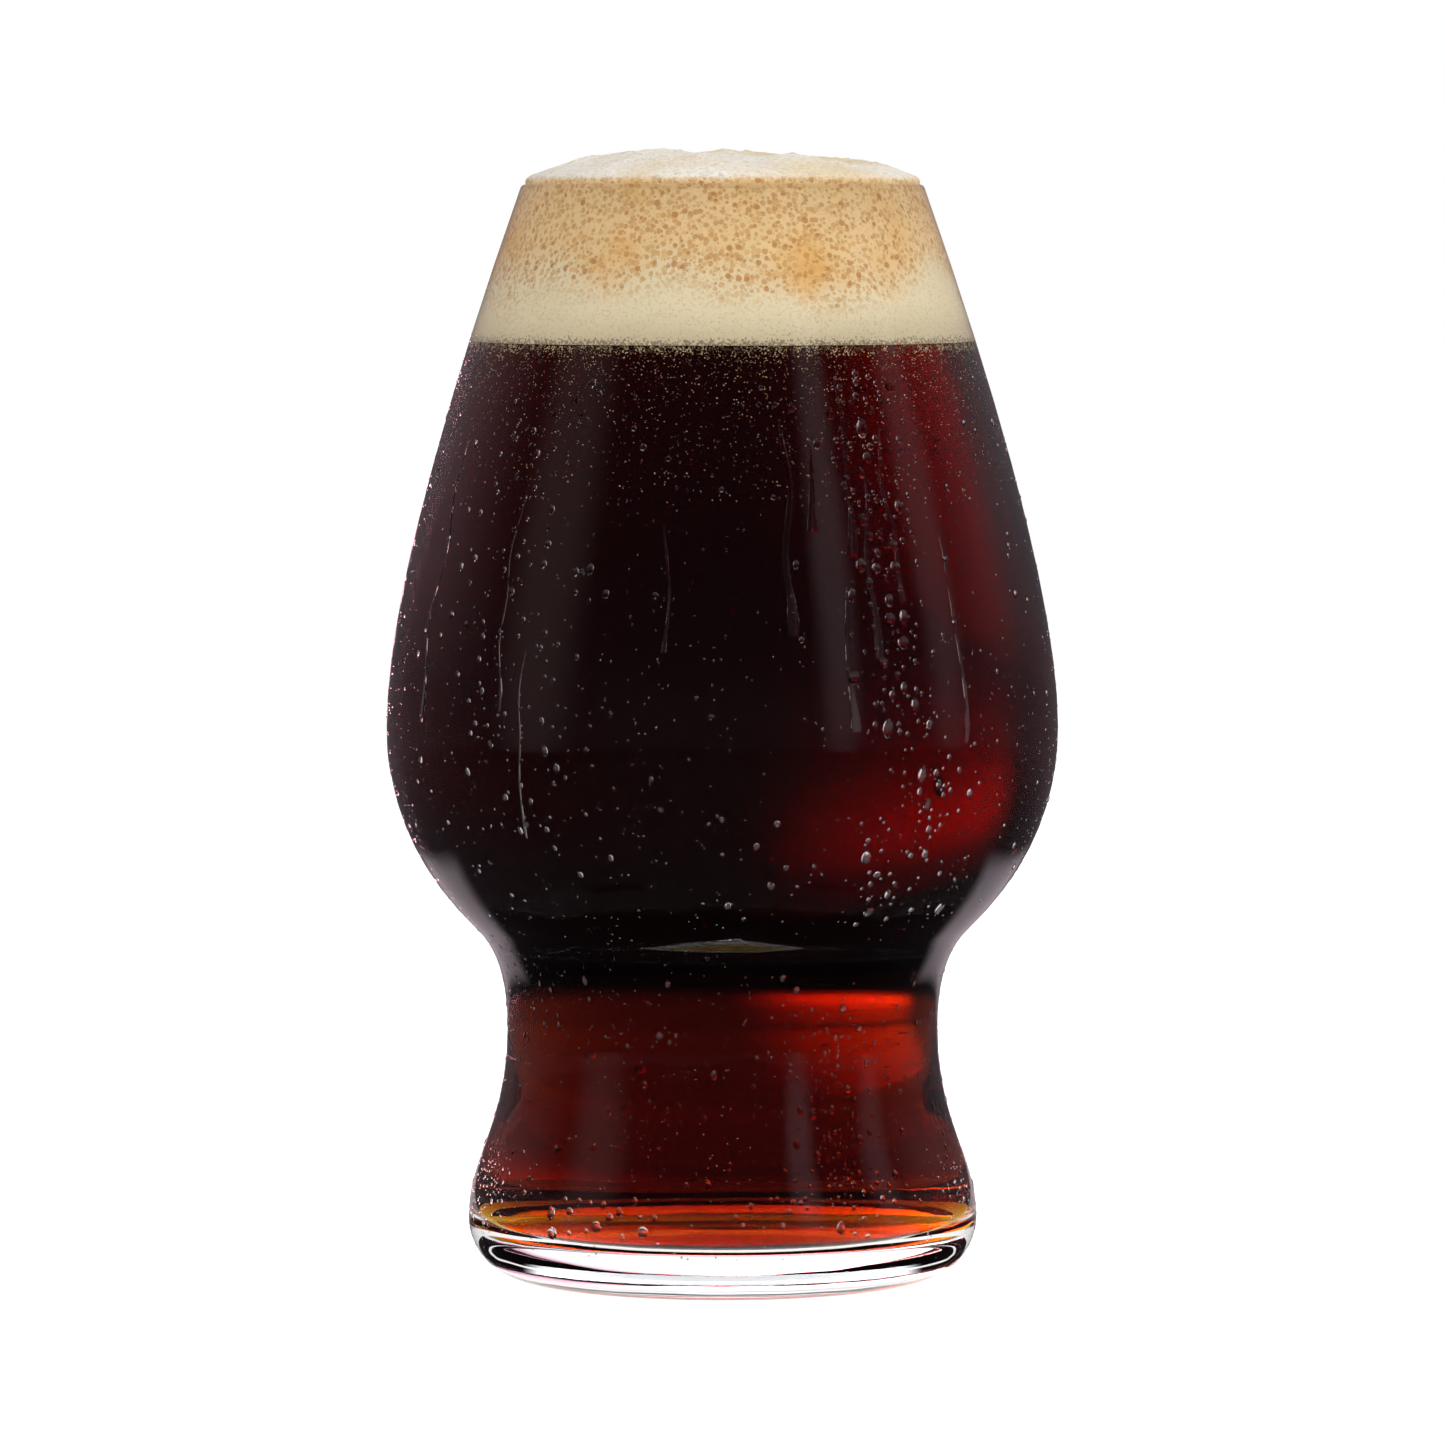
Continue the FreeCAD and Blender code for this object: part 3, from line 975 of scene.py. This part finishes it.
# %% Dressing the studio
def mirror_only(piece, mirrored=True, bent=True):
    """Seen only in mirrored and bent rays, and never in the way of the lamps."""
    piece.visible_camera = False
    piece.visible_diffuse = False
    piece.visible_shadow = False
    piece.visible_volume_scatter = False
    piece.visible_glossy = mirrored
    piece.visible_transmission = bent


def distance_out(tree):
    """Distance from the axis of the glass, in metres."""
    flat = add(tree, "VectorMath", {0: surface_place(tree), 1: (1, 1, 0)}, operation="MULTIPLY")
    length = add(tree, "VectorMath", {0: flat.outputs[0]}, operation="LENGTH")
    return length.outputs["Value"]


def towards(tree, angle):
    """Cosine of the angle between a place, seen from the axis, and a bearing from the front."""
    bearing = (math.sin(math.radians(angle)), -math.cos(math.radians(angle)), 0)
    ahead = add(tree, "VectorMath", {0: surface_place(tree), 1: bearing}, operation="DOT_PRODUCT")
    return maths(tree, "DIVIDE", ahead.outputs["Value"], distance_out(tree))


def ramp(tree, value, stops):
    """A ramp of colours: pairs of a value between 0 and 1 and a colour."""
    node = add(tree, "ValToRGB", {0: value})
    elements = node.color_ramp.elements
    while len(elements) < len(stops):
        elements.new(1.0)
    for element, (place, colour) in zip(elements, stops):
        element.position = place
        element.color = (*colour, 1)
    return node.outputs["Color"]


def glow_material(name, find_glow, find_open=None):
    """A surface that gives off a colour, and is clear where the second measure says so."""
    material, tree = new_material(name)
    shader = add(tree, "Emission", {"Color": find_glow(tree)})
    if find_open:
        clear = add(tree, "BsdfTransparent")
        inputs = {0: find_open(tree), 1: shader.outputs[0], 2: clear.outputs[0]}
        shader = add(tree, "MixShader", inputs)
    end_with(tree, shader)
    return material


def round_wall(name, radius, tall, *measures):
    """A glowing wall right round the glass, from the table up."""
    bpy.ops.object.select_all(action="DESELECT")
    bpy.ops.mesh.primitive_cylinder_add(
        vertices=64, radius=radius, depth=tall, end_fill_type="NOTHING", location=(0, 0, tall / 2)
    )
    piece = bpy.context.object
    piece.name = name
    bpy.ops.object.transform_apply(location=True, rotation=False, scale=False)
    piece.data.materials.append(glow_material(name, *measures))
    return piece


def round_cloth(name, inner, outer, height, *measures):
    """A glowing flat ring round the glass, or a disc where the inner radius is 0."""
    bpy.ops.object.select_all(action="DESELECT")
    bpy.ops.mesh.primitive_circle_add(
        vertices=96, radius=outer, fill_type="NGON", location=(0, 0, height)
    )
    piece = bpy.context.object
    piece.name = name
    bpy.ops.object.mode_set(mode="EDIT")
    bpy.ops.mesh.select_all(action="SELECT")
    if inner:
        bpy.ops.mesh.inset(thickness=outer - inner)
        bpy.ops.mesh.delete(type="FACE")
    bpy.ops.object.mode_set(mode="OBJECT")
    bpy.ops.object.transform_apply(location=True, rotation=False, scale=False)
    piece.data.materials.append(glow_material(name, *measures))
    return piece


# %% [markdown]
# The first set is mirrored: dark in front of the glass and mauve grey behind it, which
# leaves the front nearly black and draws a soft mauve line up each edge. A pale strip of
# the table close behind shows in the slopes of the shoulder, and a small bright ring under
# the heel gives the rounded heel its white line.

# %% What the glass mirrors
DARK = (0.012, 0.009, 0.011)
MAUVE = (0.26, 0.20, 0.225)
DIM = (0.10, 0.08, 0.09)
SHADE = (0.05, 0.034, 0.043)
CLOTH = (0.62, 0.52, 0.57)
CEILING = [(0.0, (0.3, 0.28, 0.29)), (0.8, (0.1, 0.08, 0.09))]
HEEL_WHITE = (17.0, 17.4, 18.0)
ROOM = 0.85
ROOM_HEIGHT = 1.6


def mirrored_room(tree):
    behind = stretch(tree, coordinate(tree, "Y"), -0.15, 0.5)
    raised = stretch(tree, coordinate(tree, "Z"), 0.08, 0.30)
    return colour_mix(tree, behind, SHADE, colour_mix(tree, raised, DIM, MAUVE))


def mirrored_table(tree):
    """Dark, with one pale strip close behind the glass for the slopes of its shoulder."""
    deep = coordinate(tree, "Y")
    far = colour_mix(tree, stretch(tree, deep, -0.15, 0.5), DARK, DIM)
    narrow = stretch(tree, maths(tree, "ABSOLUTE", coordinate(tree, "X")), 0.13, 0.10)
    strip = multiply(tree, narrow, stretch(tree, deep, 0.04, 0.07))
    reach = stretch(tree, distance_out(tree), 0.40, 0.20)
    return colour_mix(tree, multiply(tree, strip, reach), far, CLOTH)


def mirrored_ceiling(tree):
    return ramp(tree, distance_out(tree), CEILING)


def heel_glow(tree):
    """Bright in front, so that the rounded heel mirrors white there, and dark at the ends."""
    return colour_mix(tree, stretch(tree, towards(tree, 0.0), 0.5, 0.72), DARK, HEEL_WHITE)


mirrored_set = [
    round_wall("mirrored_room", ROOM, ROOM_HEIGHT, mirrored_room),
    round_cloth("mirrored_table", 0.031, ROOM, 0.001, mirrored_table),
    round_cloth("mirrored_ceiling", 0, ROOM, ROOM_HEIGHT, mirrored_ceiling),
    round_cloth("heel_light", 0.0312, 0.0334, 0.0012, heel_glow),
]
for piece in mirrored_set:
    mirror_only(piece, bent=False)

# %% [markdown]
# The other set is bent through the glass. The bowl turns everything round like a lens: its
# upper half looks down at the table far behind and its lower half looks up at the room. The
# neck looks down at the table close behind. The foot looks up, so a bright roof hangs low
# behind it and lights the beer amber there, and a low white ring stands close round it for
# the clear base. The ring has dark gaps that give the base its dark ends. A bright window
# behind on the left shows red through the beer on the right side of the neck, because the
# beer lets only red through.

# %% What the glass bends
PALE = (1.15, 1.17, 1.2)
NEAR = (0.85, 0.78, 0.80)
MIDDLE = (0.62, 0.50, 0.52)
FAR = (0.16, 0.13, 0.14)
TABLE_FADE = [(0.05, NEAR), (0.34, NEAR), (0.5, MIDDLE)]
ROOM_FADE = [(0.0, MIDDLE), (0.12, MIDDLE), (0.26, FAR), (0.5, DARK)]
WINDOW = (15.0, 6.0, 7.0)
WINDOW_ANGLE = -160.0
WINDOW_SPREAD = 21.0
TABLE_HEAT = [(0.05, 0.13), (0.16, 0.23), (0.26, 0.28), (0.42, 0.22), (0.5, 0.06), (0.85, 0.17)]
ROOM_HEAT = [(0.0, 0.17), (0.08, 0.35), (0.15, 0.95), (0.19, 0.95), (0.25, 0.2), (0.33, 0.0)]
ROOF = (1.3, 0.7, 0.9)
ROOF_BRIGHT = (10.0, 3.8, 3.8)
ROOF_ANGLE = -148.0


def with_window(tree, measure, fade, heat):
    """A ramp of colours along a measure, with the light of the window laid over it."""
    colour = ramp(tree, measure, fade)
    strength = ramp(tree, measure, [(place, (share, share, share)) for place, share in heat])
    edge = math.cos(math.radians(WINDOW_SPREAD))
    facing = stretch(tree, towards(tree, WINDOW_ANGLE), edge, 1.0)
    share = multiply(tree, multiply(tree, facing, facing), strength)
    return colour_mix(tree, share, colour, WINDOW)


def bent_table(tree):
    return with_window(tree, distance_out(tree), TABLE_FADE, TABLE_HEAT)


def bent_room(tree):
    return with_window(tree, coordinate(tree, "Z"), ROOM_FADE, ROOM_HEAT)


def ring_glow(tree):
    """White, with a dark gap half way between each two main directions."""
    turned = towards(tree, 180.0)
    for _ in range(2):
        turned = maths(tree, "MULTIPLY_ADD", multiply(tree, turned, turned), 2.0, -1.0)
    return colour_mix(tree, stretch(tree, turned, -0.66, -0.5), DARK, PALE)


def ring_open(tree):
    return stretch(tree, coordinate(tree, "Z"), 0.0105, 0.014)


def roof_glow(tree):
    """Bright behind, brightest behind on the left, and dark in front."""
    share = stretch(tree, towards(tree, ROOF_ANGLE), 0.7, 0.99)
    depth = stretch(tree, towards(tree, 180.0), 0.4, 0.8)
    return colour_mix(tree, depth, DARK, colour_mix(tree, share, ROOF, ROOF_BRIGHT))


def roof_open(tree):
    """Only the underside glows; from above the roof isn't there."""
    return add(tree, "NewGeometry").outputs["Backfacing"]


far_room = round_wall("bent_room", ROOM, ROOM_HEIGHT, bent_room)
far_table = round_cloth("bent_table", 0.036, ROOM, 0.0015, bent_table)
foot_ring = round_wall("foot_ring", 0.05, 0.014, ring_glow, ring_open)
foot_roof = round_cloth("foot_roof", 0.048, 0.24, 0.032, roof_glow, roof_open)
select_only(foot_roof)
bpy.ops.object.mode_set(mode="EDIT")
bpy.ops.mesh.select_all(action="SELECT")
bpy.ops.mesh.flip_normals()
bpy.ops.object.mode_set(mode="OBJECT")
print("roof faces down", all(face.normal.z < 0 for face in foot_roof.data.polygons))
for piece in (far_room, far_table, foot_ring, foot_roof):
    mirror_only(piece, mirrored=False)


# %% [markdown]
# Three soft cards stand round the front for the broad, faint reflections down the bowl: one
# on the left, one on the right and one at the right edge. Each fades out towards its edges,
# so the glass shows no hard border, and adds its glow to what is behind it.

# %% Soft cards
CARD_DISTANCE = 0.7


def soft_card_material(name, colour, strength):
    """A glow that fades out towards the edges of its card."""
    material, tree = new_material(name)
    grown = add(tree, "Mapping", {"Vector": surface_place(tree), "Scale": (2, 2, 2)})
    spread = add(tree, "TexGradient", {"Vector": grown.outputs[0]}, gradient_type="SPHERICAL")
    fade = stretch(tree, spread.outputs["Fac"], 0.0, 0.8, 0.0, strength)
    light = add(tree, "Emission", {"Color": colour, "Strength": fade})
    through = add(tree, "BsdfTransparent")
    end_with(tree, add(tree, "AddShader", {0: light.outputs[0], 1: through.outputs[0]}))
    return material


def card(name, angle, height, width, tall, colour, strength):
    """A soft glowing card that faces the glass, at an angle from the front."""
    bpy.ops.object.select_all(action="DESELECT")
    turn_by = math.radians(angle)
    place = (math.sin(turn_by) * CARD_DISTANCE, -math.cos(turn_by) * CARD_DISTANCE, height)
    bpy.ops.mesh.primitive_plane_add(size=1.0, location=place, rotation=(math.pi / 2, 0, turn_by))
    piece = bpy.context.object
    piece.name = name
    piece.scale = (width, tall, 1)
    piece.data.materials.append(soft_card_material(name, colour, strength))
    mirror_only(piece, bent=False)


card("left_strip", -66, 0.4, 0.55, 1.4, (1.0, 0.74, 0.70), 0.26)
card("right_strip", 40, 0.4, 0.26, 1.2, (1.0, 0.78, 0.84), 0.42)
card("right_edge", 82, 0.4, 0.30, 1.2, (1.0, 0.72, 0.76), 0.35)


# %% [markdown]
# The lamps light the froth and throw the soft shadow on the floor. They are hidden from
# mirrored and bent rays, because the glass would show them as hard white squares.

# %% Lamps
def lamp(name, place, size, power):
    """A square lamp that aims at the middle of the glass."""
    bpy.ops.object.select_all(action="DESELECT")
    bpy.ops.object.light_add(type="AREA", location=place)
    light = bpy.context.object
    light.name = name
    light.data.size = size
    light.data.energy = power
    aim = Vector((0, 0, 0.1)) - Vector(place)
    light.rotation_euler = aim.to_track_quat("-Z", "Y").to_euler()
    light.visible_glossy = False
    light.visible_transmission = False


lamp("key", (-0.55, -0.75, 0.75), 0.5, 5.4)
lamp("fill", (0.75, -0.5, 0.55), 0.6, 4.6)
lamp("top", (0.35, 0.35, 0.9), 0.4, 3.0)

# %% [markdown]
# The camera stands about a metre in front, a little below the rim, and looks slightly down,
# as in the photo. A long lens keeps the outline of the glass free of strong perspective.

# %% Camera
CAMERA_HEIGHT = 0.13443
CAMERA_BACK = 1.050
CAMERA_DOWN = math.radians(3.362)
CAMERA_LENS = 200.18
bpy.ops.object.select_all(action="DESELECT")
bpy.ops.object.camera_add(
    location=(0, -CAMERA_BACK, CAMERA_HEIGHT), rotation=(math.pi / 2 - CAMERA_DOWN, 0, 0)
)
camera = bpy.context.object
camera.data.lens = CAMERA_LENS
camera.data.sensor_width = 36.0
scene.camera = camera
